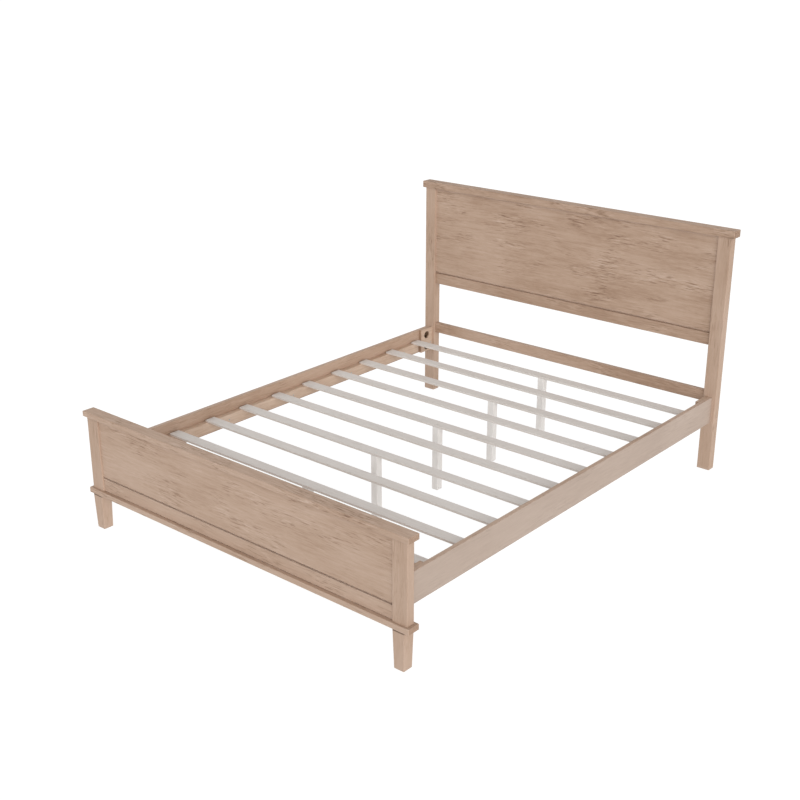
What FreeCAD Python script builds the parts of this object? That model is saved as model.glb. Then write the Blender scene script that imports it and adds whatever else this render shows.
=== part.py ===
import FreeCAD, Part
import os

from FreeCAD import Vector

# Queen-size wooden bed frame: framed headboard and footboard, side rails, slats and centre legs.
# Millimetres, +Z up. The origin is on the floor, in the middle of the bed's length and width.
# The foot of the bed is at -Y and the head at +Y. Left is -X and right is +X.

# Overall size, over the caps and the base board
BED_WIDTH = 1650.0
BED_LENGTH = 2128.0
HEADBOARD_HEIGHT = 1076.0
FOOTBOARD_HEIGHT = 492.5

# Caps and base board: boards of one depth that lie flat, over and under the uprights
CAP_DEPTH = 53.0
HEAD_CAP_THICKNESS = 31.0
FOOT_CAP_THICKNESS = 22.0
BASE_BOARD_BOTTOM = 146.5
BASE_BOARD_THICKNESS = 22.0
CAP_EDGE_RADIUS = 2.0

# Posts and tapered feet, centred under the caps
POST_CENTRE_X = 780.0
HEAD_POST_WIDTH = 58.0
HEAD_POST_DEPTH = 42.0
FOOT_POST_WIDTH = 63.0
FOOT_POST_DEPTH = 34.0
FOOT_TOP_SIDE = 49.5
FOOT_BOTTOM_SIDE = 42.0
FOOT_CHAMFER = 1.2
BOARD_EDGE_RADIUS = 1.5

# Infill between the posts: a panel over a bottom rail, parted by a shadow groove on the front
INFILL_THICKNESS = 23.0
HEAD_RAIL_BOTTOM = 568.0
HEAD_RAIL_TOP = 628.5
FOOT_RAIL_TOP = 230.0
SHADOW_GROOVE_HEIGHT = 8.0
BOTTOM_REVEAL = 2.0
TONGUE_THICKNESS = 6.0
TONGUE_LENGTH = 6.0
TONGUE_PLAY = 0.1

# Low stretcher between the headboard posts
STRETCHER_BOTTOM = 311.0
STRETCHER_TOP = 361.0
STRETCHER_THICKNESS = 22.0

# Side rails and what they carry
RAIL_INNER_X = 774.5
RAIL_THICKNESS = 18.0
RAIL_BOTTOM = 222.5
RAIL_TOP = 340.5
CLEAT_THICKNESS = 23.0
CLEAT_HEIGHT = 48.0
CLEAT_PAST_SLAT = 11.0
BLOCK_THICKNESS = 14.0
BLOCK_LENGTH = 90.0

# Slats and centre legs
SLAT_COUNT = 10
SLAT_LENGTH = 1530.0
SLAT_WIDTH = 49.5
SLAT_THICKNESS = 9.0
SLAT_PITCH = 194.0
SLAT_UNDERSIDE = 287.0
FIRST_SLAT_FROM_FRONT = 198.0
SLAT_EDGE_RADIUS = 1.0
CENTRE_LEG_SIDE = 30.5
CENTRE_LEG_X = 12.0
CENTRE_LEG_CHAMFER = 2.0

# Connector studs, which draw the rails onto the posts, with their pockets, washers and nuts.
# They run in the joint of rail and block, and the pockets go through the block into the rail.
STUD_X = 776.5
STUD_HEIGHTS = (248.5, 307.5)
STUD_RADIUS = 4.0
STUD_IN_POST = 24.0
STUD_PAST_POCKET_CENTRE = 9.0
POCKET_RADIUS = 18.5
POCKET_FROM_POST = 46.5
POCKET_BOTTOM_X = 785.0
WASHER_RADIUS = 18.0
WASHER_HEIGHT = 15.0
WASHER_FLAT_FROM_CENTRE = 3.0
NUT_ACROSS_FLATS = 13.0
NUT_THICKNESS = 6.5
INSERT_RADIUS = 6.0
INSERT_LENGTH = 20.0
THREAD_PLAY = 0.05

# Hanger bolts, which hold the tapered feet under the footboard posts
HANGER_IN_FOOT = 42.0
HANGER_IN_POST = 24.0

# Dowels
DOWEL_RADIUS = 4.0
DOWEL_PLAY = 0.05
HEAD_RAIL_DOWEL_HEIGHTS = (583.0, 607.0)
STRETCHER_DOWEL_HEIGHTS = (324.0, 348.0)
FOOT_RAIL_DOWEL_HEIGHTS = (186.0, 209.0)
RAIL_DOWEL_IN_POST = 14.0
RAIL_DOWEL_IN_RAIL = 24.0
CAP_DOWEL_OFFSET = 14.0
CAP_DOWEL_IN_CAP = 12.0
CAP_DOWEL_IN_POST = 18.0

# Countersunk wood screws: (head radius, shank radius, length)
SLAT_SCREW = (3.6, 1.9, 30.0)
CLEAT_SCREW = (3.9, 2.1, 34.0)
BLOCK_SCREW = (3.9, 2.1, 26.0)
CENTRE_LEG_SCREW = (4.4, 2.4, 50.0)
BASE_BOARD_SCREW = (4.4, 2.4, 55.0)
SCREW_PLAY = 0.15
SLAT_SCREW_X = 758.0
POST_SCREW_OFFSET = 12.0
BASE_RAIL_SCREW_X = (-690.0, -345.0, 0.0, 345.0, 690.0)
BLOCK_SCREWS_FROM_POST = (16.0, 76.0)
BLOCK_SCREW_Z = 262.0
OVERCUT = 1.0

# Planes worked out from the dimensions above
SHADOW_GROOVE_DEPTH = (INFILL_THICKNESS - TONGUE_THICKNESS) / 2
FRONT = -BED_LENGTH / 2
BACK = BED_LENGTH / 2
FOOT_CENTRE_Y = FRONT + CAP_DEPTH / 2
HEAD_CENTRE_Y = BACK - CAP_DEPTH / 2
FOOT_POST_BACK = FOOT_CENTRE_Y + FOOT_POST_DEPTH / 2
HEAD_POST_FRONT = HEAD_CENTRE_Y - HEAD_POST_DEPTH / 2
BASE_BOARD_TOP = BASE_BOARD_BOTTOM + BASE_BOARD_THICKNESS
HEAD_POST_TOP = HEADBOARD_HEIGHT - HEAD_CAP_THICKNESS
FOOT_POST_TOP = FOOTBOARD_HEIGHT - FOOT_CAP_THICKNESS
HEAD_POST_INNER_X = POST_CENTRE_X - HEAD_POST_WIDTH / 2
FOOT_POST_INNER_X = POST_CENTRE_X - FOOT_POST_WIDTH / 2
BLOCK_INNER_X = RAIL_INNER_X - BLOCK_THICKNESS
CLEAT_INNER_X = RAIL_INNER_X - CLEAT_THICKNESS
SLAT_TOP = SLAT_UNDERSIDE + SLAT_THICKNESS
CLEAT_MIDDLE_Z = SLAT_UNDERSIDE - CLEAT_HEIGHT / 2

SIDES = (("left", -1), ("right", 1))
X_AXIS = Vector(1, 0, 0)
Y_AXIS = Vector(0, 1, 0)
Z_AXIS = Vector(0, 0, 1)


# Basic shapes

def box(x_span, y_span, z_span):
    """Box between two values on each axis, given in either order."""
    x_low, x_high = sorted(x_span)
    y_low, y_high = sorted(y_span)
    z_low, z_high = sorted(z_span)
    corner = Vector(x_low, y_low, z_low)
    return Part.makeBox(x_high - x_low, y_high - y_low, z_high - z_low, corner)


def centred(middle, width):
    """Lowest and highest value of a width about its middle."""
    return middle - width / 2, middle + width / 2


def ease_edges(shape, radius, *directions):
    """Round the straight edges that run along any of the directions."""
    chosen = []
    for edge in shape.Edges:
        run = edge.tangentAt(edge.FirstParameter)
        if any(abs(run.dot(direction)) > 0.99 for direction in directions):
            chosen.append(edge)
    return shape.makeFillet(radius, chosen)


def placed(shape, position, direction):
    """Copy of a shape made along +Z, moved to a position and turned to point along a direction."""
    copy = shape.copy()
    copy.Placement = FreeCAD.Placement(position, FreeCAD.Rotation(Z_AXIS, direction))
    return copy


def rod(radius, length, position, direction):
    """Plain round bar or hole, from a position along a direction."""
    return placed(Part.makeCylinder(radius, length), position, direction)


def chamfered_rod(radius, length, position, direction):
    """Round bar with both ends chamfered, as on a dowel or a stud."""
    bar = Part.makeCylinder(radius, length)
    rims = [edge for edge in bar.Edges if isinstance(edge.Curve, Part.Circle)]
    return placed(bar.makeChamfer(1.0, rims), position, direction)


def screw_profile(head_radius, shank_radius, length, play):
    """Turned body of a countersunk screw along +Z, with its head's flat at Z = 0."""
    head_radius = head_radius + play
    shank_radius = shank_radius + play
    head_depth = head_radius - shank_radius
    points = [
        Vector(0, 0, 0),
        Vector(head_radius, 0, 0),
        Vector(shank_radius, 0, head_depth),
        Vector(shank_radius, 0, length + play - 2 * shank_radius),
        Vector(0, 0, length + play),
        Vector(0, 0, 0),
    ]
    return Part.Face(Part.makePolygon(points)).revolve(Vector(0, 0, 0), Z_AXIS, 360)


def screw(size, position, direction):
    """Countersunk wood screw with a cross recess in its head."""
    head_radius, shank_radius, length = size
    body = screw_profile(head_radius, shank_radius, length, 0.0)
    arm = 0.6 * head_radius
    slot_half = 0.14 * head_radius
    depth = 0.45 * head_radius
    recess = box((-arm, arm), (-slot_half, slot_half), (-OVERCUT, depth))
    recess = recess.fuse(box((-slot_half, slot_half), (-arm, arm), (-OVERCUT, depth)))
    return placed(body.cut(recess), position, direction)


def screw_hole(size, position, direction):
    """Countersunk hole that clears a screw of that size and opens at its head."""
    head_radius, shank_radius, length = size
    hole = screw_profile(head_radius, shank_radius, length, SCREW_PLAY)
    mouth = Part.makeCylinder(head_radius + SCREW_PLAY, OVERCUT, Vector(0, 0, -OVERCUT))
    return placed(hole.fuse(mouth), position, direction)


def drilled(shape, tools):
    """Solid left after the tools are cut from it."""
    return shape.cut(tools).Solids[0]


# Where the fasteners are. Each function gives positions and driving directions.

def connector_sites():
    """Post face, direction into the post, side and height of every connector stud."""
    for _, side in SIDES:
        for face_y, into_post in ((FOOT_POST_BACK, -1), (HEAD_POST_FRONT, 1)):
            for height in STUD_HEIGHTS:
                yield Vector(side * STUD_X, face_y, height), Vector(0, into_post, 0)


def cap_dowel_sites(post_top, centre_y):
    """Points on the post tops where the cap's dowels cross."""
    for _, side in SIDES:
        for offset in (-CAP_DOWEL_OFFSET, CAP_DOWEL_OFFSET):
            yield Vector(side * POST_CENTRE_X + offset, centre_y, post_top)


def rail_dowel_sites(inner_x, centre_y, heights):
    """Points on the posts' inner faces where a rail's dowels cross, with the way into the post."""
    for _, side in SIDES:
        for height in heights:
            yield Vector(side * inner_x, centre_y, height), Vector(side, 0, 0)


def slat_centres():
    """Middle of each slat along Y, from the foot to the head."""
    return [FRONT + FIRST_SLAT_FROM_FRONT + SLAT_PITCH * index for index in range(SLAT_COUNT)]


def centre_leg_sites():
    """Middle of each centre leg along Y. A leg stands under every second slat, flush with its edge.

    All of them stand beside the middle of the bed, on its right.
    """
    setback = (SLAT_WIDTH - CENTRE_LEG_SIDE) / 2
    return [centre_y - setback for centre_y in slat_centres()[1::2]]


def slat_screw_sites():
    for centre_y in slat_centres():
        for _, side in SIDES:
            yield Vector(side * SLAT_SCREW_X, centre_y, SLAT_TOP)


def cleat_screw_sites():
    """Cleat screws sit midway between every second pair of slats."""
    along = [centre_y + SLAT_PITCH / 2 for centre_y in slat_centres()[::2]]
    for _, side in SIDES:
        for y in along:
            yield Vector(side * CLEAT_INNER_X, y, CLEAT_MIDDLE_Z), Vector(side, 0, 0)


def block_screw_sites():
    for _, side in SIDES:
        for face_y, into_post in ((FOOT_POST_BACK, -1), (HEAD_POST_FRONT, 1)):
            for distance in BLOCK_SCREWS_FROM_POST:
                y = face_y - into_post * distance
                yield Vector(side * BLOCK_INNER_X, y, BLOCK_SCREW_Z), Vector(side, 0, 0)


def base_board_screw_sites():
    """Screws up through the base board: two into each post, the rest into the bottom rail."""
    post_xs = []
    for _, side in SIDES:
        for offset in (-POST_SCREW_OFFSET, POST_SCREW_OFFSET):
            post_xs.append(side * POST_CENTRE_X + offset)
    for x in post_xs + list(BASE_RAIL_SCREW_X):
        yield Vector(x, FOOT_CENTRE_Y, BASE_BOARD_BOTTOM)


# Holes for those fasteners

def cap_dowel_holes(post_top, centre_y):
    holes = []
    length = CAP_DOWEL_IN_CAP + CAP_DOWEL_IN_POST + 1.0
    for site in cap_dowel_sites(post_top, centre_y):
        start = site - Z_AXIS * (CAP_DOWEL_IN_POST + 0.5)
        holes.append(rod(DOWEL_RADIUS + DOWEL_PLAY, length, start, Z_AXIS))
    return holes


def rail_dowel_holes(inner_x, centre_y, heights):
    holes = []
    length = RAIL_DOWEL_IN_RAIL + RAIL_DOWEL_IN_POST + 1.0
    for site, outward in rail_dowel_sites(inner_x, centre_y, heights):
        start = site - outward * (RAIL_DOWEL_IN_RAIL + 0.5)
        holes.append(rod(DOWEL_RADIUS + DOWEL_PLAY, length, start, outward))
    return holes


def stud_holes():
    """Clearance holes along the connector studs, from the pockets into the posts."""
    holes = []
    for site, into_post in connector_sites():
        start = site - into_post * (POCKET_FROM_POST + STUD_PAST_POCKET_CENTRE + 0.5)
        length = POCKET_FROM_POST + STUD_PAST_POCKET_CENTRE + STUD_IN_POST + 1.0
        holes.append(rod(STUD_RADIUS + 0.4, length, start, into_post))
    return holes


def pocket_holes():
    """Round pockets for the washers and nuts, through the blocks and on into the rails."""
    holes = []
    depth = POCKET_BOTTOM_X - BLOCK_INNER_X + OVERCUT
    for site, into_post in connector_sites():
        outward = X_AXIS if site.x > 0 else -X_AXIS
        centre = site - into_post * POCKET_FROM_POST
        mouth = centre - outward * (STUD_X - BLOCK_INNER_X + OVERCUT)
        holes.append(rod(POCKET_RADIUS, depth, mouth, outward))
    return holes


def stud_insert_holes():
    holes = []
    for site, into_post in connector_sites():
        start = site - into_post * OVERCUT
        depth = INSERT_LENGTH + OVERCUT + 0.1
        holes.append(rod(INSERT_RADIUS + THREAD_PLAY, depth, start, into_post))
    return holes


def hanger_bolt_holes(play):
    holes = []
    length = HANGER_IN_FOOT + BASE_BOARD_THICKNESS + HANGER_IN_POST + 1.0
    for _, side in SIDES:
        start = Vector(side * POST_CENTRE_X, FOOT_CENTRE_Y, BASE_BOARD_BOTTOM - HANGER_IN_FOOT - 0.5)
        holes.append(rod(STUD_RADIUS + play, length, start, Z_AXIS))
    return holes


def hanger_insert_holes():
    holes = []
    for _, side in SIDES:
        start = Vector(side * POST_CENTRE_X, FOOT_CENTRE_Y, BASE_BOARD_TOP - OVERCUT)
        holes.append(rod(INSERT_RADIUS + THREAD_PLAY, INSERT_LENGTH + OVERCUT + 0.1, start, Z_AXIS))
    return holes


def base_board_screw_holes():
    return [screw_hole(BASE_BOARD_SCREW, site, Z_AXIS) for site in base_board_screw_sites()]


def slat_screw_holes():
    return [screw_hole(SLAT_SCREW, site, -Z_AXIS) for site in slat_screw_sites()]


def centre_leg_screw_holes():
    holes = []
    for y in centre_leg_sites():
        holes.append(screw_hole(CENTRE_LEG_SCREW, Vector(CENTRE_LEG_X, y, SLAT_TOP), -Z_AXIS))
    return holes


def cleat_screw_holes():
    return [screw_hole(CLEAT_SCREW, site, outward) for site, outward in cleat_screw_sites()]


def block_screw_holes():
    return [screw_hole(BLOCK_SCREW, site, outward) for site, outward in block_screw_sites()]


# Headboard and footboard

def cap(thickness, top, centre_y, post_top, inner_x):
    """Flat board over the posts, with a groove under it for the panel's tongue."""
    body = box(centred(0, BED_WIDTH), centred(centre_y, CAP_DEPTH), (top - thickness, top))
    body = ease_edges(body, CAP_EDGE_RADIUS, X_AXIS, Y_AXIS, Z_AXIS)
    groove = box(
        (-inner_x, inner_x),
        centred(centre_y, TONGUE_THICKNESS + 2 * TONGUE_PLAY),
        (post_top - OVERCUT, post_top + TONGUE_LENGTH + TONGUE_PLAY),
    )
    return drilled(body, [groove] + cap_dowel_holes(post_top, centre_y))


def panel_groove(side, inner_x, centre_y, bottom, top):
    """Groove in a post's inner face for the panel's side tongue."""
    return box(
        (side * (inner_x - OVERCUT), side * (inner_x + TONGUE_LENGTH + TONGUE_PLAY)),
        centred(centre_y, TONGUE_THICKNESS + 2 * TONGUE_PLAY),
        (bottom, top + OVERCUT),
    )


def headboard_post(side):
    body = box(
        centred(side * POST_CENTRE_X, HEAD_POST_WIDTH),
        centred(HEAD_CENTRE_Y, HEAD_POST_DEPTH),
        (0, HEAD_POST_TOP),
    )
    body = ease_edges(body, BOARD_EDGE_RADIUS, Z_AXIS)
    tools = [panel_groove(side, HEAD_POST_INNER_X, HEAD_CENTRE_Y, HEAD_RAIL_TOP, HEAD_POST_TOP)]
    tools += cap_dowel_holes(HEAD_POST_TOP, HEAD_CENTRE_Y)
    tools += rail_dowel_holes(HEAD_POST_INNER_X, HEAD_CENTRE_Y, HEAD_RAIL_DOWEL_HEIGHTS)
    tools += rail_dowel_holes(HEAD_POST_INNER_X, HEAD_CENTRE_Y, STRETCHER_DOWEL_HEIGHTS)
    tools += stud_holes() + stud_insert_holes()
    return drilled(body, tools)


def footboard_post(side):
    body = box(
        centred(side * POST_CENTRE_X, FOOT_POST_WIDTH),
        centred(FOOT_CENTRE_Y, FOOT_POST_DEPTH),
        (BASE_BOARD_TOP, FOOT_POST_TOP),
    )
    body = ease_edges(body, BOARD_EDGE_RADIUS, Z_AXIS)
    tools = [panel_groove(side, FOOT_POST_INNER_X, FOOT_CENTRE_Y, FOOT_RAIL_TOP, FOOT_POST_TOP)]
    tools += cap_dowel_holes(FOOT_POST_TOP, FOOT_CENTRE_Y)
    tools += rail_dowel_holes(FOOT_POST_INNER_X, FOOT_CENTRE_Y, FOOT_RAIL_DOWEL_HEIGHTS)
    tools += stud_holes() + stud_insert_holes()
    tools += hanger_bolt_holes(0.4) + hanger_insert_holes() + base_board_screw_holes()
    return drilled(body, tools)


def panel(inner_x, centre_y, bottom, top):
    """Panel with a tongue on all four edges, cut away at the corners."""
    body = box((-inner_x, inner_x), centred(centre_y, INFILL_THICKNESS), (bottom, top))
    tongue = box(
        (-inner_x - TONGUE_LENGTH, inner_x + TONGUE_LENGTH),
        centred(centre_y, TONGUE_THICKNESS),
        (bottom - TONGUE_LENGTH, top + TONGUE_LENGTH),
    )
    corners = []
    for _, side in SIDES:
        for edge, outward in ((bottom, -1), (top, 1)):
            corners.append(box(
                (side * (inner_x - TONGUE_PLAY), side * (inner_x + 2 * TONGUE_LENGTH)),
                centred(centre_y, INFILL_THICKNESS),
                (edge, edge + outward * 2 * TONGUE_LENGTH),
            ))
    return body.fuse(tongue).removeSplitter().cut(corners).Solids[0]


def bottom_rail(inner_x, centre_y, bottom, top, dowel_heights, bottom_reveal, extra_tools):
    """Rail under a panel. The shadow groove along its front top edge lays the panel's tongue bare."""
    front = centre_y - INFILL_THICKNESS / 2
    body = box((-inner_x, inner_x), centred(centre_y, INFILL_THICKNESS), (bottom, top))
    shadow_groove = box(
        (-inner_x - OVERCUT, inner_x + OVERCUT),
        (front - OVERCUT, front + SHADOW_GROOVE_DEPTH),
        (top - SHADOW_GROOVE_HEIGHT, top + OVERCUT),
    )
    tongue_groove = box(
        (-inner_x - OVERCUT, inner_x + OVERCUT),
        centred(centre_y, TONGUE_THICKNESS + 2 * TONGUE_PLAY),
        (top - TONGUE_LENGTH - TONGUE_PLAY, top + OVERCUT),
    )
    tools = [shadow_groove, tongue_groove] + extra_tools
    if bottom_reveal:
        tools.append(box(
            (-inner_x - OVERCUT, inner_x + OVERCUT),
            (front - OVERCUT, front + bottom_reveal),
            (bottom - OVERCUT, bottom + bottom_reveal),
        ))
    return drilled(body, tools + rail_dowel_holes(inner_x, centre_y, dowel_heights))


def headboard_stretcher():
    body = box(
        (-HEAD_POST_INNER_X, HEAD_POST_INNER_X),
        centred(HEAD_CENTRE_Y, STRETCHER_THICKNESS),
        (STRETCHER_BOTTOM, STRETCHER_TOP),
    )
    body = ease_edges(body, BOARD_EDGE_RADIUS, X_AXIS)
    return drilled(body, rail_dowel_holes(HEAD_POST_INNER_X, HEAD_CENTRE_Y, STRETCHER_DOWEL_HEIGHTS))


def footboard_base_board():
    body = box(
        centred(0, BED_WIDTH),
        centred(FOOT_CENTRE_Y, CAP_DEPTH),
        (BASE_BOARD_BOTTOM, BASE_BOARD_TOP),
    )
    body = ease_edges(body, CAP_EDGE_RADIUS, X_AXIS, Y_AXIS, Z_AXIS)
    return drilled(body, base_board_screw_holes() + hanger_bolt_holes(0.4))


def foot_leg(side):
    """Square foot that tapers on all four sides towards the floor, its long edges chamfered."""
    half_top = FOOT_TOP_SIDE / 2
    half_bottom = FOOT_BOTTOM_SIDE / 2
    body = Part.makeWedge(
        -half_bottom, 0, -half_bottom, -half_top, -half_top,
        half_bottom, BASE_BOARD_BOTTOM, half_bottom, half_top, half_top,
    )
    body.rotate(Vector(0, 0, 0), X_AXIS, 90)
    body.translate(Vector(side * POST_CENTRE_X, FOOT_CENTRE_Y, 0))
    long_edges = [edge for edge in body.Edges if edge.Length > FOOT_TOP_SIDE + 1]
    return drilled(body.makeChamfer(FOOT_CHAMFER, long_edges), hanger_bolt_holes(THREAD_PLAY))


# Side rails and what they carry

def side_rail(side):
    body = box(
        (side * RAIL_INNER_X, side * (RAIL_INNER_X + RAIL_THICKNESS)),
        (FOOT_POST_BACK, HEAD_POST_FRONT),
        (RAIL_BOTTOM, RAIL_TOP),
    )
    body = ease_edges(body, BOARD_EDGE_RADIUS, Y_AXIS)
    return drilled(body, pocket_holes() + stud_holes() + cleat_screw_holes() + block_screw_holes())


def slat_cleat(side):
    """Batten along the rail's inner face, from under the first slat to under the last."""
    centres = slat_centres()
    body = box(
        (side * CLEAT_INNER_X, side * RAIL_INNER_X),
        (centres[0] - CLEAT_PAST_SLAT, centres[-1] + CLEAT_PAST_SLAT),
        (SLAT_UNDERSIDE - CLEAT_HEIGHT, SLAT_UNDERSIDE),
    )
    return drilled(body, cleat_screw_holes() + slat_screw_holes())


def bolt_block(side, face_y, into_post):
    """Block behind the rail's end, with two round pockets for the washers and nuts."""
    body = box(
        (side * BLOCK_INNER_X, side * RAIL_INNER_X),
        (face_y, face_y - into_post * BLOCK_LENGTH),
        (RAIL_BOTTOM, RAIL_TOP),
    )
    return drilled(body, pocket_holes() + stud_holes() + block_screw_holes())


def slat(centre_y, holes):
    body = box(centred(0, SLAT_LENGTH), centred(centre_y, SLAT_WIDTH), (SLAT_UNDERSIDE, SLAT_TOP))
    body = ease_edges(body, SLAT_EDGE_RADIUS, X_AXIS)
    return drilled(body, holes)


def centre_leg(centre_y, holes):
    body = box(
        centred(CENTRE_LEG_X, CENTRE_LEG_SIDE),
        centred(centre_y, CENTRE_LEG_SIDE),
        (0, SLAT_UNDERSIDE),
    )
    body = ease_edges(body, SLAT_EDGE_RADIUS, Z_AXIS)
    rim = [edge for edge in body.Edges if edge.BoundBox.ZMax < 0.01]
    return drilled(body.makeChamfer(CENTRE_LEG_CHAMFER, rim), holes)


# Fasteners

def connector_stud(site, into_post):
    reach = POCKET_FROM_POST + STUD_PAST_POCKET_CENTRE
    length = reach + STUD_IN_POST
    return chamfered_rod(STUD_RADIUS, length, site - into_post * reach, into_post)


def half_moon_washer(site, into_post):
    """Part of a cylinder that fills the pocket's post side, with a flat for the nut."""
    centre = site - into_post * POCKET_FROM_POST
    bottom = centre - X_AXIS * (WASHER_HEIGHT / 2)
    body = rod(WASHER_RADIUS, WASHER_HEIGHT, bottom, X_AXIS)
    flat_y = centre.y + into_post.y * WASHER_FLAT_FROM_CENTRE
    kept = box(
        centred(centre.x, WASHER_HEIGHT),
        (flat_y, centre.y + into_post.y * WASHER_RADIUS),
        centred(centre.z, 2 * WASHER_RADIUS),
    )
    bore = rod(STUD_RADIUS + 0.4, 2 * POCKET_RADIUS, centre, into_post)
    return body.common(kept).cut(bore).Solids[0]


def connector_nut(site, into_post):
    """Hexagon nut that bears on the washer's flat, its corners chamfered."""
    face = site - into_post * (POCKET_FROM_POST - WASHER_FLAT_FROM_CENTRE)
    corner_radius = NUT_ACROSS_FLATS / 3 ** 0.5
    corners = []
    for step in range(7):
        turn = FreeCAD.Rotation(Z_AXIS, 30 + 60 * step)
        corners.append(turn.multVec(X_AXIS * corner_radius))
    hexagon = Part.Face(Part.makePolygon(corners)).extrude(Z_AXIS * NUT_THICKNESS)
    round_body = Part.makeCylinder(corner_radius, NUT_THICKNESS)
    rims = [edge for edge in round_body.Edges if isinstance(edge.Curve, Part.Circle)]
    bore = Part.makeCylinder(STUD_RADIUS + THREAD_PLAY, NUT_THICKNESS)
    nut = hexagon.common(round_body.makeChamfer(0.8, rims)).cut(bore)
    return placed(nut, face, -into_post)


def threaded_insert(mouth, inward):
    """Threaded sleeve let into the wood, flush at its mouth."""
    sleeve = Part.makeCylinder(INSERT_RADIUS, INSERT_LENGTH)
    bore = Part.makeCylinder(STUD_RADIUS + THREAD_PLAY, INSERT_LENGTH)
    return placed(sleeve.cut(bore), mouth, inward)


def hanger_bolt(side):
    length = HANGER_IN_FOOT + BASE_BOARD_THICKNESS + HANGER_IN_POST
    bottom = Vector(side * POST_CENTRE_X, FOOT_CENTRE_Y, BASE_BOARD_BOTTOM - HANGER_IN_FOOT)
    return chamfered_rod(STUD_RADIUS, length, bottom, Z_AXIS)


def cap_dowels(post_top, centre_y):
    length = CAP_DOWEL_IN_CAP + CAP_DOWEL_IN_POST
    dowels = []
    for site in cap_dowel_sites(post_top, centre_y):
        dowels.append(chamfered_rod(DOWEL_RADIUS, length, site - Z_AXIS * CAP_DOWEL_IN_POST, Z_AXIS))
    return dowels


def rail_dowels(inner_x, centre_y, heights):
    length = RAIL_DOWEL_IN_RAIL + RAIL_DOWEL_IN_POST
    dowels = []
    for site, outward in rail_dowel_sites(inner_x, centre_y, heights):
        dowels.append(chamfered_rod(DOWEL_RADIUS, length, site - outward * RAIL_DOWEL_IN_RAIL, outward))
    return dowels


# The pieces, by the names of their nodes

def headboard_pieces():
    pieces = {
        "headboard_cap": cap(
            HEAD_CAP_THICKNESS, HEADBOARD_HEIGHT, HEAD_CENTRE_Y, HEAD_POST_TOP, HEAD_POST_INNER_X),
        "headboard_panel": panel(HEAD_POST_INNER_X, HEAD_CENTRE_Y, HEAD_RAIL_TOP, HEAD_POST_TOP),
        "headboard_bottom_rail": bottom_rail(
            HEAD_POST_INNER_X, HEAD_CENTRE_Y, HEAD_RAIL_BOTTOM, HEAD_RAIL_TOP,
            HEAD_RAIL_DOWEL_HEIGHTS, 0.0, []),
        "headboard_stretcher": headboard_stretcher(),
    }
    for name, side in SIDES:
        pieces["headboard_post_" + name] = headboard_post(side)
    return pieces


def footboard_pieces():
    pieces = {
        "footboard_cap": cap(
            FOOT_CAP_THICKNESS, FOOTBOARD_HEIGHT, FOOT_CENTRE_Y, FOOT_POST_TOP, FOOT_POST_INNER_X),
        "footboard_panel": panel(FOOT_POST_INNER_X, FOOT_CENTRE_Y, FOOT_RAIL_TOP, FOOT_POST_TOP),
        "footboard_bottom_rail": bottom_rail(
            FOOT_POST_INNER_X, FOOT_CENTRE_Y, BASE_BOARD_TOP, FOOT_RAIL_TOP,
            FOOT_RAIL_DOWEL_HEIGHTS, BOTTOM_REVEAL, base_board_screw_holes()),
        "footboard_base_board": footboard_base_board(),
    }
    for name, side in SIDES:
        pieces["footboard_post_" + name] = footboard_post(side)
        pieces["foot_leg_" + name] = foot_leg(side)
    return pieces


def side_pieces():
    pieces = {}
    for name, side in SIDES:
        pieces["side_rail_" + name] = side_rail(side)
        pieces["slat_cleat_" + name] = slat_cleat(side)
        pieces["bolt_block_foot_" + name] = bolt_block(side, FOOT_POST_BACK, -1)
        pieces["bolt_block_head_" + name] = bolt_block(side, HEAD_POST_FRONT, 1)
    return pieces


def slat_pieces():
    pieces = {}
    slat_holes = slat_screw_holes() + centre_leg_screw_holes()
    for number, centre_y in enumerate(slat_centres(), start=1):
        pieces["slat_%02d" % number] = slat(centre_y, slat_holes)
    for number, centre_y in enumerate(centre_leg_sites(), start=1):
        pieces["centre_leg_%d" % number] = centre_leg(centre_y, centre_leg_screw_holes())
    return pieces


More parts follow.
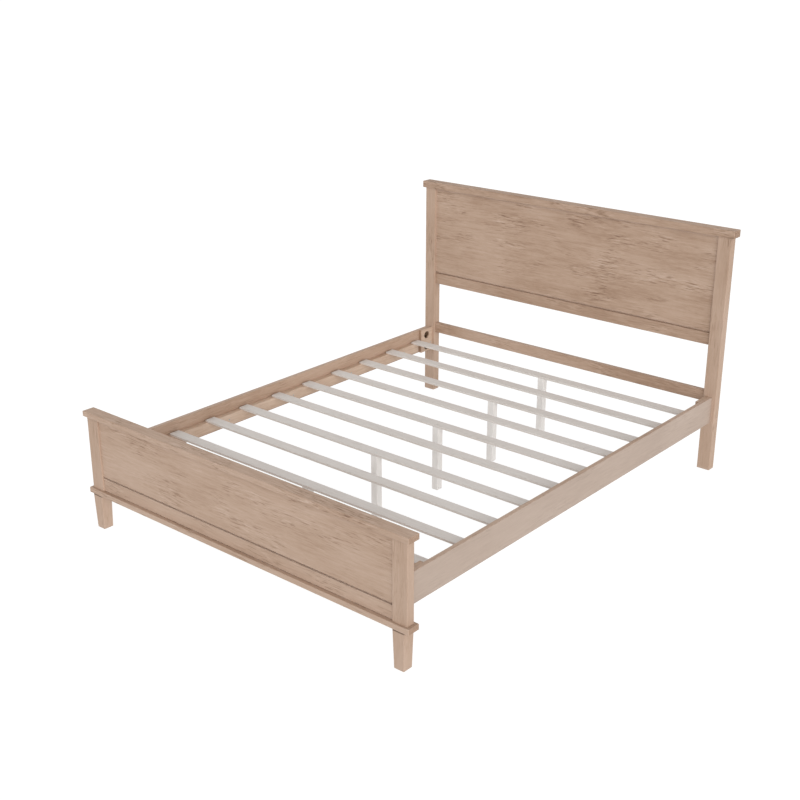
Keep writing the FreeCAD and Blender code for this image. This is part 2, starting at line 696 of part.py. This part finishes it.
def fastener_groups():
    """Identical fasteners share one node, as separate solids."""
    connectors = list(connector_sites())
    inserts = [threaded_insert(site, into_post) for site, into_post in connectors]
    hanger_inserts = []
    for _, side in SIDES:
        mouth = Vector(side * POST_CENTRE_X, FOOT_CENTRE_Y, BASE_BOARD_TOP)
        hanger_inserts.append(threaded_insert(mouth, Z_AXIS))
    dowels_head = rail_dowels(HEAD_POST_INNER_X, HEAD_CENTRE_Y, HEAD_RAIL_DOWEL_HEIGHTS)
    dowels_head += rail_dowels(HEAD_POST_INNER_X, HEAD_CENTRE_Y, STRETCHER_DOWEL_HEIGHTS)
    dowels_head += cap_dowels(HEAD_POST_TOP, HEAD_CENTRE_Y)
    dowels_foot = rail_dowels(FOOT_POST_INNER_X, FOOT_CENTRE_Y, FOOT_RAIL_DOWEL_HEIGHTS)
    dowels_foot += cap_dowels(FOOT_POST_TOP, FOOT_CENTRE_Y)
    leg_tops = [Vector(CENTRE_LEG_X, y, SLAT_TOP) for y in centre_leg_sites()]
    return {
        "connector_studs": [connector_stud(*site) for site in connectors],
        "half_moon_washers": [half_moon_washer(*site) for site in connectors],
        "connector_nuts": [connector_nut(*site) for site in connectors],
        "post_threaded_inserts": inserts,
        "foot_threaded_inserts": hanger_inserts,
        "foot_hanger_bolts": [hanger_bolt(side) for _, side in SIDES],
        "headboard_dowels": dowels_head,
        "footboard_dowels": dowels_foot,
        "slat_screws": [screw(SLAT_SCREW, site, -Z_AXIS) for site in slat_screw_sites()],
        "centre_leg_screws": [screw(CENTRE_LEG_SCREW, site, -Z_AXIS) for site in leg_tops],
        "cleat_screws": [screw(CLEAT_SCREW, *site) for site in cleat_screw_sites()],
        "bolt_block_screws": [screw(BLOCK_SCREW, *site) for site in block_screw_sites()],
        "base_board_screws": [screw(BASE_BOARD_SCREW, site, Z_AXIS) for site in base_board_screw_sites()],
    }


def main():
    os.makedirs("parts", exist_ok=True)
    pieces = {}
    for group in (headboard_pieces(), footboard_pieces(), side_pieces(), slat_pieces()):
        pieces.update(group)
    for name, solids in fastener_groups().items():
        pieces[name] = Part.makeCompound(solids)
    for name, shape in pieces.items():
        shape.exportStep("parts/%s.step" % name)
        print("%-26s %2d solid(s), %12.1f mm3" % (name, len(shape.Solids), shape.Volume))


main()
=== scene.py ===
import math

import bpy
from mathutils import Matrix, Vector


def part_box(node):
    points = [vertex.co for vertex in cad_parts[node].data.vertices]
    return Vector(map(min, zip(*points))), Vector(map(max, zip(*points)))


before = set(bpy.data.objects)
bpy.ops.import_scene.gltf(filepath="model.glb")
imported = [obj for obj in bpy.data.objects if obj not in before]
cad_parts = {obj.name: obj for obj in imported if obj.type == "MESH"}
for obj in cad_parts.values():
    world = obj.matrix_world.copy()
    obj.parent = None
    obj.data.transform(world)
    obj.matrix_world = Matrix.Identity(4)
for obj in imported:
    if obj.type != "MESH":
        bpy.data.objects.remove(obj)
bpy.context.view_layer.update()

# Camera: where it stands round the bed, and its lens in millimetres
CAMERA_PLACE = (3.0041, -3.6710, 2.2643)
CAMERA_TILT = math.radians(68.855)
CAMERA_TURN = math.radians(40.345)
CAMERA_LENS = 55.823
SENSOR_WIDTH = 36.0
CLIP_END = 400.0

# Floor: the light that falls on it and its own glow come to just white
FLOOR_SIZE = 240.0
FLOOR_GREY = 0.22
FLOOR_GLOW = 0.90

# Sky brightness, from straight down through the horizon to straight up
SKY_STOPS = ((0.00, 0.45), (0.50, 0.72), (1.00, 0.44))

# Suns: name, direction towards it, strength, and the angle that it spans in degrees
SUNS = (
    ("key", (0.79, -0.58, 0.20), 1.90, 60.0),
    ("fill", (-0.55, 0.60, 0.58), 0.4, 70.0),
)


# Small helpers for materials and their nodes

def linear(red, green, blue):
    """Scene-linear colour from 8-bit display values."""
    channels = []
    for value in (red, green, blue):
        value = value / 255.0
        channels.append(value / 12.92 if value <= 0.04045 else ((value + 0.055) / 1.055) ** 2.4)
    return (*channels, 1.0)


class Shader:
    """Adds nodes to a tree. A socket given as an input is linked, any other value is set."""

    def __init__(self, tree):
        self.tree = tree

    def node(self, kind, inputs=None, **settings):
        made = self.tree.nodes.new(kind)
        for name, value in settings.items():
            setattr(made, name, value)
        for key, value in (inputs or {}).items():
            if isinstance(value, bpy.types.NodeSocket):
                self.tree.links.new(value, made.inputs[key])
            else:
                made.inputs[key].default_value = value
        return made

    def math(self, operation, *values):
        inputs = dict(enumerate(values))
        return self.node("ShaderNodeMath", inputs, operation=operation).outputs[0]

    def vector(self, operation, first, second):
        inputs = {0: first, 1: second}
        return self.node("ShaderNodeVectorMath", inputs, operation=operation)

    def combine(self, x, y, z):
        return self.node("ShaderNodeCombineXYZ", {0: x, 1: y, 2: z}).outputs[0]

    def noise(self, vector, scale, detail=3.0, roughness=0.55):
        """Noise over a vector stretched by one factor for each axis, centred on zero."""
        value = self.node("ShaderNodeTexNoise", {
            "Vector": self.vector("MULTIPLY", vector, scale).outputs[0],
            "Scale": 1.0,
            "Detail": detail,
            "Roughness": roughness,
        }).outputs[0]
        return self.math("SUBTRACT", value, 0.5)

    def step(self, value, low, high):
        """Smooth step from 0 at low to 1 at high."""
        inputs = {0: value, 1: low, 2: high, 3: 0.0, 4: 1.0}
        return self.node("ShaderNodeMapRange", inputs, interpolation_type="SMOOTHSTEP").outputs[0]

    def total(self, *terms):
        """Sum of (value, weight) pairs."""
        result = 0.0
        for value, weight in terms:
            result = self.math("MULTIPLY_ADD", value, weight, result)
        return result

    def mix(self, factor, first, second, blend="MIX"):
        made = self.node("ShaderNodeMix", data_type="RGBA", blend_type=blend)
        for index, value in ((0, factor), (6, first), (7, second)):
            if isinstance(value, bpy.types.NodeSocket):
                self.tree.links.new(value, made.inputs[index])
            else:
                made.inputs[index].default_value = value
        return made.outputs[2]

    def ramp(self, value, stops):
        made = self.node("ShaderNodeValToRGB", {0: value})
        elements = made.color_ramp.elements
        while len(elements) < len(stops):
            elements.new(0.5)
        for element, (position, colour) in zip(elements, stops):
            element.position = position
            element.color = colour
        return made.outputs[0]

    def bump(self, strength, distance, height, **others):
        inputs = {"Strength": strength, "Distance": distance, "Height": height}
        inputs.update(others)
        return self.node("ShaderNodeBump", inputs).outputs[0]

    def surface(self, inputs):
        """Ends a material in one shader with the given inputs."""
        shader = self.node("ShaderNodeBsdfPrincipled", inputs)
        self.node("ShaderNodeOutputMaterial", {"Surface": shader.outputs[0]})


def new_material(name):
    material = bpy.data.materials.new(name)
    material.use_nodes = True
    material.node_tree.nodes.clear()
    return material, Shader(material.node_tree)


# Wood

# The object's axes in the order along the grain, across the face, through the board
GRAIN_ORDER = {"X_flat": "XYZ", "X_upright": "XZY", "Y": "YZX", "Z": "ZXY"}

WOOD_STOPS = {
    "washed": (
        (0.00, linear(128, 98, 77)),
        (0.30, linear(168, 137, 114)),
        (0.52, linear(189, 160, 138)),
        (0.75, linear(202, 175, 155)),
        (1.00, linear(218, 196, 180)),
    ),
    "pale": (
        (0.00, linear(188, 177, 168)),
        (0.30, linear(213, 204, 197)),
        (0.55, linear(226, 219, 213)),
        (1.00, linear(243, 239, 235)),
    ),
    "plain": (
        (0.00, linear(150, 118, 94)),
        (0.30, linear(184, 152, 128)),
        (0.55, linear(202, 174, 151)),
        (1.00, linear(224, 202, 184)),
    ),
    "beech": (
        (0.00, linear(160, 122, 84)),
        (1.00, linear(226, 196, 152)),
    ),
}
PORE_COLOUR = linear(104, 76, 58)
# Colour that painted shade darkens towards
PAINTED_SHADE_COLOUR = linear(96, 70, 52)
# Greyer colour of the painted sheen on faces turned to one side
PAINTED_SHEEN_COLOUR = linear(188, 178, 170)
PLY_LINE_COLOUR = linear(168, 148, 124)
END_GRAIN_STOPS = ((0.2, linear(196, 180, 166)), (0.8, linear(240, 234, 228)))

# Each board's grain starts at a place of its own: where the first one starts, and the way to the next
GRAIN_START = (0.21, 0.57, 0.05)
GRAIN_STEP = (1.37, 0.83, 2.11)

# How fine each part of the grain is, in noise cells a metre along, across and through the board
DRIFT = (1.1, 4.0, 4.0)
CLOUDS = (3.0, 8.0, 8.0)
BANDS = (2.0, 34.0, 34.0)
STREAKS = (11.0, 150.0, 150.0)
FIBRES = (40.0, 750.0, 750.0)
PATCHES = (5.0, 14.0, 14.0)
MARKS = (21.0, 270.0, 270.0)
END_SPECKLE = (3.0, 420.0, 420.0)

# Lengths in metres: how far the grain wanders, how deep it is, how wide the edges lightened by wear
# and a painted highlight are, how far painted corner light and shade reach, where the painted shadow
# line under a board above starts and ends, and the slats' plywood layers
DRIFT_WIDTH = 0.05
GRAIN_RELIEF = 0.0007
WORN_AND_HIGHLIT_EDGE = 0.0022
CORNER_REACH = 0.030
LINE_BOTTOM = 0.0075
LINE_TOP = 0.0030
SLAT_PLY = 0.0018

# Plating: noise cells a metre along X, Y and Z, and how deep the rubbed marks are in metres
SPANGLE = (260.0, 260.0, 260.0)
RUB = (900.0, 900.0, 120.0)
PLATING_RELIEF = 0.0001


def wood(name, order, finish="washed", seed=0, tone=0.0, blotch=1.0, streak=1.0, dash=1.0, ply=0.0,
         grey_side=0.0, top=0.0, corners=0.0, pockets=0.0, under=None):
    """Wood with its own piece of grain. Lengths are metres; tone shifts it lighter or darker.

    A face turned to grey_side along X is greyer, a painted sheen. Ply is the thickness of a plywood
    layer.
    Top, corners and pockets are how much painted shade lies on upward faces, in corners and in deep
    bores;
    below zero they are how much painted light lifts those places towards the lightest wood colour.
    Under is the height of a board above, below which a painted shadow line runs.
    """
    material, s = new_material(name)
    lightest_colour = WOOD_STOPS[finish][-1][1]

    here = s.node("ShaderNodeTexCoord").outputs["Object"]
    normal = s.node("ShaderNodeNewGeometry").outputs["Normal"]
    split_place = s.node("ShaderNodeSeparateXYZ", {0: here})
    split_normal = s.node("ShaderNodeSeparateXYZ", {0: normal})
    axes = GRAIN_ORDER[order]
    along, across, through = (split_place.outputs[axis] for axis in axes)
    offset = [start + step * seed for start, step in zip(GRAIN_START, GRAIN_STEP)]
    place = s.vector("ADD", s.combine(along, across, through), offset).outputs[0]

    # The grain wanders slowly along the board
    drift = s.math("MULTIPLY", s.noise(place, DRIFT, 2.0), DRIFT_WIDTH)
    place = s.vector("ADD", place, s.combine(0.0, drift, 0.0)).outputs[0]

    clouds = s.noise(place, CLOUDS, 3.0)
    bands = s.noise(place, BANDS, 2.0)
    streaks = s.noise(place, STREAKS, 3.0)
    fibres = s.noise(place, FIBRES, 2.0, 0.6)
    patches = s.step(s.noise(place, PATCHES, 2.0), -0.06, 0.14)
    marks = s.noise(place, MARKS, 2.0)
    dark_marks = s.math("MULTIPLY", s.step(marks, 0.03, 0.18), patches)
    light_marks = s.math("MULTIPLY", s.step(marks, -0.05, -0.20), patches)

    shade = s.total(
        (clouds, 0.50 * blotch),
        (bands, 0.20 * streak),
        (streaks, 0.50 * streak),
        (fibres, 0.45 * streak),
        (light_marks, 0.30 * dash),
        (dark_marks, -0.24 * dash),
    )
    colour = s.ramp(s.math("ADD", shade, 0.52 + tone), WOOD_STOPS[finish])
    pores = s.math("MULTIPLY", dark_marks, 0.34 * dash)
    colour = s.mix(pores, colour, PORE_COLOUR)
    # Painted sheen: faces turned to grey_side along X are greyer
    if grey_side:
        facing = s.step(s.math("MULTIPLY", split_normal.outputs["X"], grey_side), 0.6, 0.9)
        colour = s.mix(s.math("MULTIPLY", facing, 0.45), colour, PAINTED_SHEEN_COLOUR)

    # Ends of the board, where the grain is cut across
    end = s.step(s.math("ABSOLUTE", split_normal.outputs[axes[0]]), 0.80, 0.97)
    speckle = s.ramp(s.math("ADD", s.noise(place, END_SPECKLE, 2.0), 0.5), END_GRAIN_STOPS)
    end_colour = s.mix(1.0, colour, speckle, "MULTIPLY")
    colour = s.mix(s.math("MULTIPLY", end, 0.8), colour, end_colour)

    if ply:
        # Plywood edges show their layers
        edge = s.step(s.math("ABSOLUTE", split_normal.outputs[axes[2]]), 0.6, 0.3)
        layers = s.math("SINE", s.math("MULTIPLY", through, 2 * math.pi / ply))
        layer_mask = s.math("MULTIPLY", s.step(layers, 0.0, 0.6), s.math("MULTIPLY", edge, 0.35))
        colour = s.mix(layer_mask, colour, PLY_LINE_COLOUR)

    # Painted shade darkens towards the shade colour; painted light, at amounts below zero, lifts
    # towards the lightest wood colour
    def paint_light_and_shade(mask, amount):
        shown = PAINTED_SHADE_COLOUR if amount > 0 else lightest_colour
        return s.mix(s.math("MULTIPLY", mask, abs(amount)), colour, shown)

    # Upward faces: painted shade, or painted light where top is below zero, striped along the grain
    if top:
        upward = s.step(split_normal.outputs["Z"], 0.7, 0.95)
        colour = paint_light_and_shade(s.math("MULTIPLY", upward, s.math("MULTIPLY_ADD", bands, 1.6, 0.9)), top)
    # Corners and deep bores: painted shade, or painted light where the amount is below zero, by how
    # closed in each point is
    if corners or pockets:
        reach = {"Distance": CORNER_REACH}
        openness = s.node("ShaderNodeAmbientOcclusion", reach, samples=8).outputs["AO"]
        colour = paint_light_and_shade(s.step(openness, 0.80, 0.50), corners)
        colour = paint_light_and_shade(s.step(openness, 0.56, 0.42), pockets)
    # A painted shadow line just below the board above
    if under:
        line = s.step(split_place.outputs["Z"], under - LINE_BOTTOM, under - LINE_TOP)
        colour = paint_light_and_shade(line, 0.9)

    # Edges are lighter: partly wear from handling, partly a painted highlight
    eased = s.node("ShaderNodeBevel", {"Radius": WORN_AND_HIGHLIT_EDGE}, samples=4).outputs[0]
    turned = s.vector("DOT_PRODUCT", eased, normal).outputs["Value"]
    wear_and_highlight = s.math("MULTIPLY", s.step(turned, 0.985, 0.90), s.step(streaks, -0.25, 0.10))
    colour = s.mix(s.math("MULTIPLY", wear_and_highlight, 0.35), colour, lightest_colour)

    height = s.total((streaks, 0.25), (fibres, 0.35), (dark_marks, -0.6), (light_marks, 0.3))
    roughness = s.total((streaks, -0.25), (clouds, 0.2), (dark_marks, 0.12))
    s.surface({
        "Base Color": colour,
        "Roughness": s.math("ADD", roughness, 0.62),
        "Specular IOR Level": 0.35,
        "Normal": s.bump(0.55, GRAIN_RELIEF, height, Normal=eased),
    })
    return material


def zinc(name, dark, light):
    """Zinc-plated steel with a faint crystal pattern and rubbed marks."""
    material, s = new_material(name)
    here = s.node("ShaderNodeTexCoord").outputs["Object"]
    spangle = s.noise(here, SPANGLE, 2.0)
    rub = s.noise(here, RUB, 3.0)
    shade = s.math("ADD", s.total((spangle, 0.9), (rub, 0.5)), 0.5)
    roughness = s.total((spangle, 0.3), (rub, 0.25))
    s.surface({
        "Base Color": s.ramp(shade, ((0.2, dark), (0.8, light))),
        "Metallic": 1.0,
        "Roughness": s.math("ADD", roughness, 0.38),
        "Normal": s.bump(0.3, PLATING_RELIEF, rub),
    })
    return material


def finish_nodes():
    """Gives every node of the bed its own piece of wood, or the plating."""
    bright_zinc = zinc("bright_zinc", linear(150, 150, 146), linear(205, 205, 200))
    pale_zinc = zinc("pale_zinc", linear(214, 212, 206), linear(244, 242, 238))
    black_zinc = zinc("black_zinc", linear(78, 62, 48), linear(128, 104, 82))
    foot_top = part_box("foot_leg_left")[1][2]
    # In these settings, corners and top below zero are painted light, pockets and top above zero
    # painted shade, grey_side a painted sheen and under a painted shadow line
    head_post = dict(order="Z", streak=0.6, dash=0.6, corners=-0.25)
    foot_post = dict(order="Z", tone=0.05, streak=0.5, dash=0.5, corners=-0.15)
    foot_leg = dict(order="Z", tone=0.09, streak=0.5, dash=0.4, under=foot_top)
    side_rail = dict(order="Y", dash=0.4, streak=0.7, top=-0.25, pockets=0.3)
    cleat = dict(order="Y", finish="plain", tone=0.05, dash=0.3)
    dowels = dict(order="X_upright", finish="beech")
    bolt_block = dict(order="Y", finish="plain", dash=0.3, top=0.15, pockets=0.4)
    slat = dict(order="X_flat", finish="pale", dash=0.2, streak=0.6, blotch=0.6, ply=SLAT_PLY)
    # The centre legs' high tone is painted light, lifting them against the shade beneath the slats
    centre_leg = dict(order="Z", finish="pale", tone=0.40, dash=0.2, streak=0.6, blotch=0.6)
    looks = {
        "headboard_cap": dict(order="X_flat", tone=-0.04),
        "headboard_panel": dict(order="X_upright", tone=-0.01, blotch=1.2, corners=-0.60),
        "headboard_bottom_rail": dict(order="X_upright", tone=-0.08),
        "headboard_stretcher": dict(order="X_upright", tone=-0.05, blotch=1.4),
        "headboard_post_left": head_post,
        "headboard_post_right": dict(head_post, tone=0.02),
        "footboard_cap": dict(order="X_flat", tone=0.085, blotch=0.8),
        "footboard_panel": dict(
            order="X_upright", tone=0.05, streak=0.8, dash=0.7, corners=-0.30, pockets=0.5),
        "footboard_bottom_rail": dict(order="X_upright", tone=0.06, streak=0.8, corners=-0.60),
        "footboard_base_board": dict(order="X_flat", tone=0.12, streak=0.8, top=0.15),
        "footboard_post_left": foot_post,
        "footboard_post_right": foot_post,
        "foot_leg_left": foot_leg,
        "foot_leg_right": foot_leg,
        "side_rail_left": dict(side_rail, tone=0.02, grey_side=-1.0),
        "side_rail_right": dict(side_rail, grey_side=1.0),
        "slat_cleat_left": cleat,
        "slat_cleat_right": cleat,
        "headboard_dowels": dowels,
        "footboard_dowels": dowels,
    }
    platings = {
        "connector_studs": black_zinc,
        "connector_nuts": black_zinc,
        "half_moon_washers": black_zinc,
        "slat_screws": pale_zinc,
        "centre_leg_screws": pale_zinc,
    }
    for seed, (name, node) in enumerate(sorted(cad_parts.items())):
        if name in looks:
            material = wood(name, seed=seed, **looks[name])
        elif name in platings:
            material = platings[name]
        elif name.startswith("bolt_block_") and not name.endswith("screws"):
            material = wood(name, seed=seed, **bolt_block)
        elif name.startswith("slat_"):
            # Painted light: slats from slat_07 to the head end are a shade lighter, standing for more
            # light falling there
            tone = 0.15 if name >= "slat_07" else 0.10
            material = wood(name, seed=seed, tone=tone, **slat)
        elif name.startswith("centre_leg_"):
            material = wood(name, seed=seed, **centre_leg)
        else:
            material = bright_zinc
        for slot in node.material_slots:
            slot.material = material


# Floor, light and camera

def grey(value):
    return (value, value, value, 1.0)


def make_floor():
    bpy.ops.mesh.primitive_plane_add(size=FLOOR_SIZE)
    floor = bpy.context.object
    floor.name = "floor"
    material, s = new_material("floor")
    s.surface({
        "Base Color": grey(FLOOR_GREY),
        "Roughness": 0.9,
        "Specular IOR Level": 0.0,
        "Emission Color": grey(1.0),
        "Emission Strength": FLOOR_GLOW,
    })
    floor.data.materials.append(material)
    floor.visible_diffuse = False


def make_light():
    world = bpy.data.worlds.new("studio")
    bpy.context.scene.world = world
    world.use_nodes = True
    s = Shader(world.node_tree)
    direction = s.node("ShaderNodeTexCoord").outputs["Generated"]
    rise = s.node("ShaderNodeSeparateXYZ", {0: direction}).outputs["Z"]
    stops = [(position, grey(value)) for position, value in SKY_STOPS]
    sky = s.ramp(s.math("MULTIPLY_ADD", rise, 0.5, 0.5), stops)
    world.node_tree.links.new(sky, world.node_tree.nodes["Background"].inputs["Color"])
    for name, towards, strength, spread in SUNS:
        light = bpy.data.lights.new(name, "SUN")
        light.energy = strength
        light.angle = math.radians(spread)
        lamp = bpy.data.objects.new(name, light)
        lamp.rotation_euler = Vector(towards).to_track_quat("Z", "Y").to_euler()
        bpy.context.scene.collection.objects.link(lamp)


def make_camera():
    data = bpy.data.cameras.new("camera")
    data.lens = CAMERA_LENS
    data.sensor_width = SENSOR_WIDTH
    data.clip_end = CLIP_END
    camera = bpy.data.objects.new("camera", data)
    camera.location = CAMERA_PLACE
    camera.rotation_euler = (CAMERA_TILT, 0.0, CAMERA_TURN)
    bpy.context.scene.collection.objects.link(camera)
    bpy.context.scene.camera = camera


finish_nodes()
make_floor()
make_light()
make_camera()
bpy.context.scene.view_settings.view_transform = "Standard"
